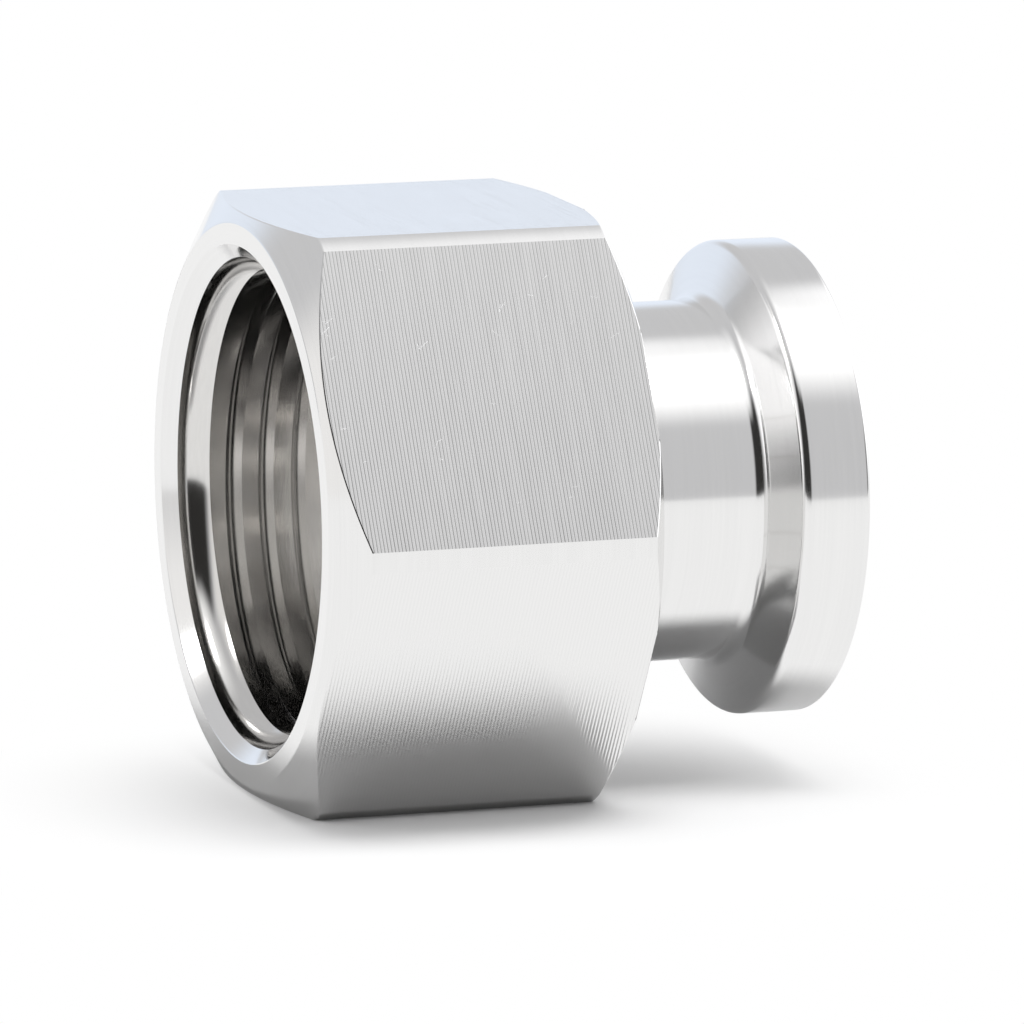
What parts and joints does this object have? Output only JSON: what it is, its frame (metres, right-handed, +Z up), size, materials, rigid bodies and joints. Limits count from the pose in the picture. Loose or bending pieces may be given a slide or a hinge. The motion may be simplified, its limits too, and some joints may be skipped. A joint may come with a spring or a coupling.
{
  "type": "sanitary clamp threaded adapter",
  "caption": "Stainless adapter: a hexagonal body with a female pipe thread in its wide mouth, and a short neck ending in a clamp flange with a gasket groove.",
  "frame": {"origin": "centre of the sealing face, on the flow axis", "axes": "+X along the flow axis, out of the ferrule; the threaded mouth faces -X; +Z up, with one flat of the hexagon level on the ground"},
  "size_m": [0.0305, 0.0346, 0.0306],
  "materials": {
    "stainless": "turned and milled, bright"
  },
  "bodies": {
    "root": {"adapter_body": "stainless"}
  },
  "joints": []
}
